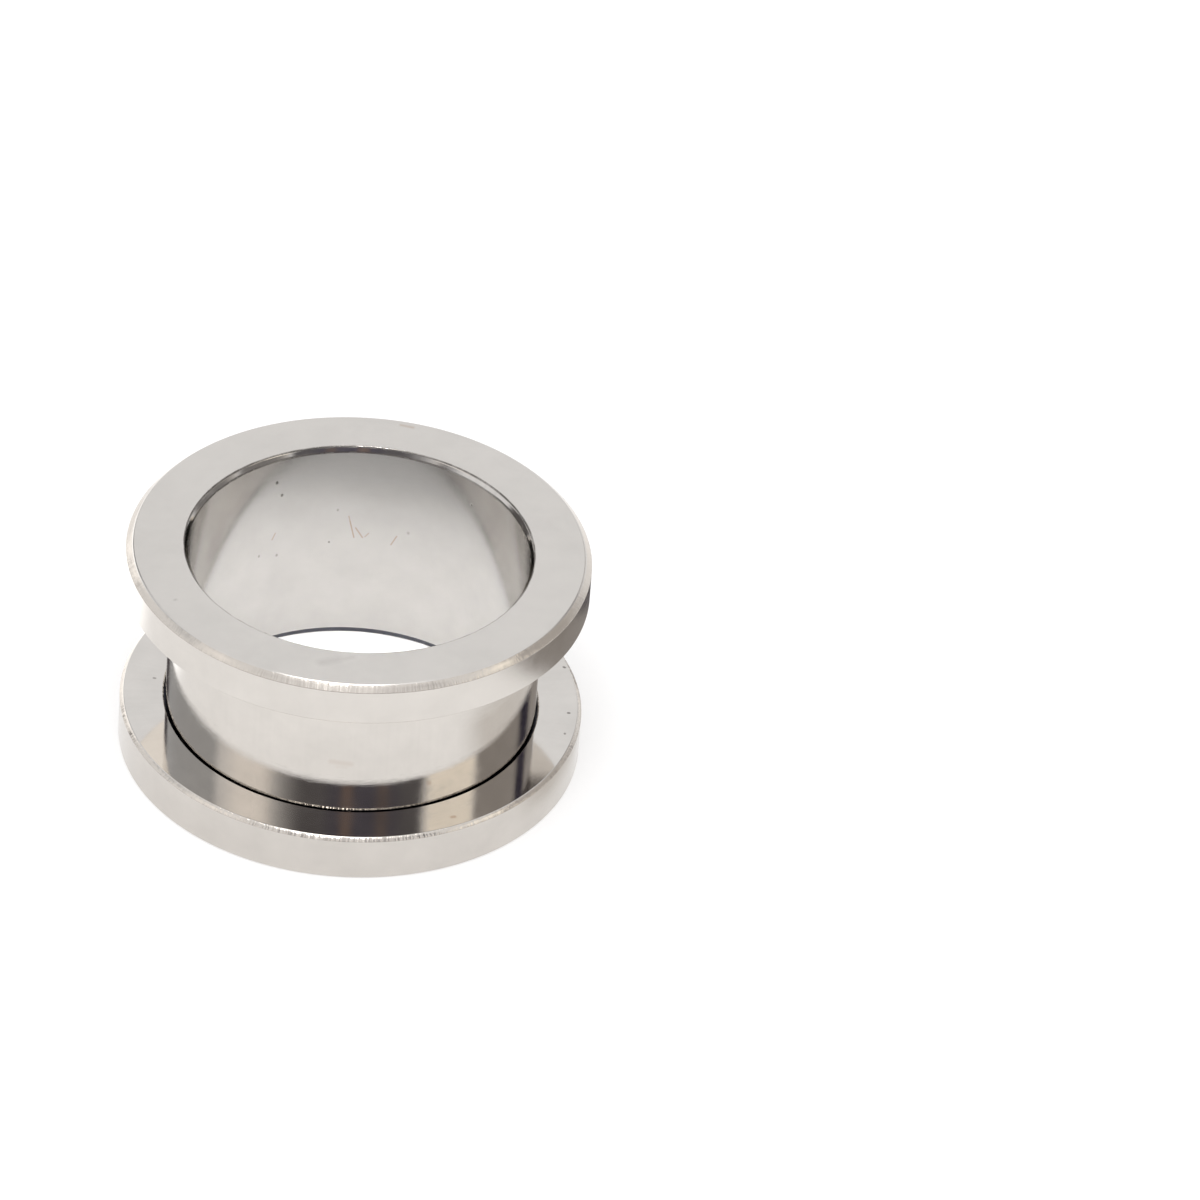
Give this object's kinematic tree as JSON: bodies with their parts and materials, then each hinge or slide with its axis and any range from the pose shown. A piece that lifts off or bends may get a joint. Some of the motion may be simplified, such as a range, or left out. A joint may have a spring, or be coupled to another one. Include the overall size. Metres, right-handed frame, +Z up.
{
  "type": "ear tunnel",
  "caption": "Screw-fit ear tunnel: an open polished steel tube with a fixed front flange and a screw-on back flange.",
  "frame": {"origin": "centre of the back flange's flat underside, on the surface that the tunnel stands on", "axes": "+Z up along the bore, from the screw-on back flange to the fixed front flange; the shape is turned, so X and Y are any two directions square to it"},
  "size_m": [0.0197, 0.0196, 0.0099],
  "materials": {
    "polished_steel": "stainless steel, mirror-polished barrel and bevels, satin turned faces, rims and bore"
  },
  "bodies": {
    "back": {"screw_back": "polished_steel"},
    "barrel": {"tunnel_barrel": "polished_steel"}
  },
  "joints": [
    {"name": "unscrew", "type": "slide", "parent": "back", "child": "barrel", "axis": [0, 0, 1], "range_m": [0, 0.012]}
  ]
}
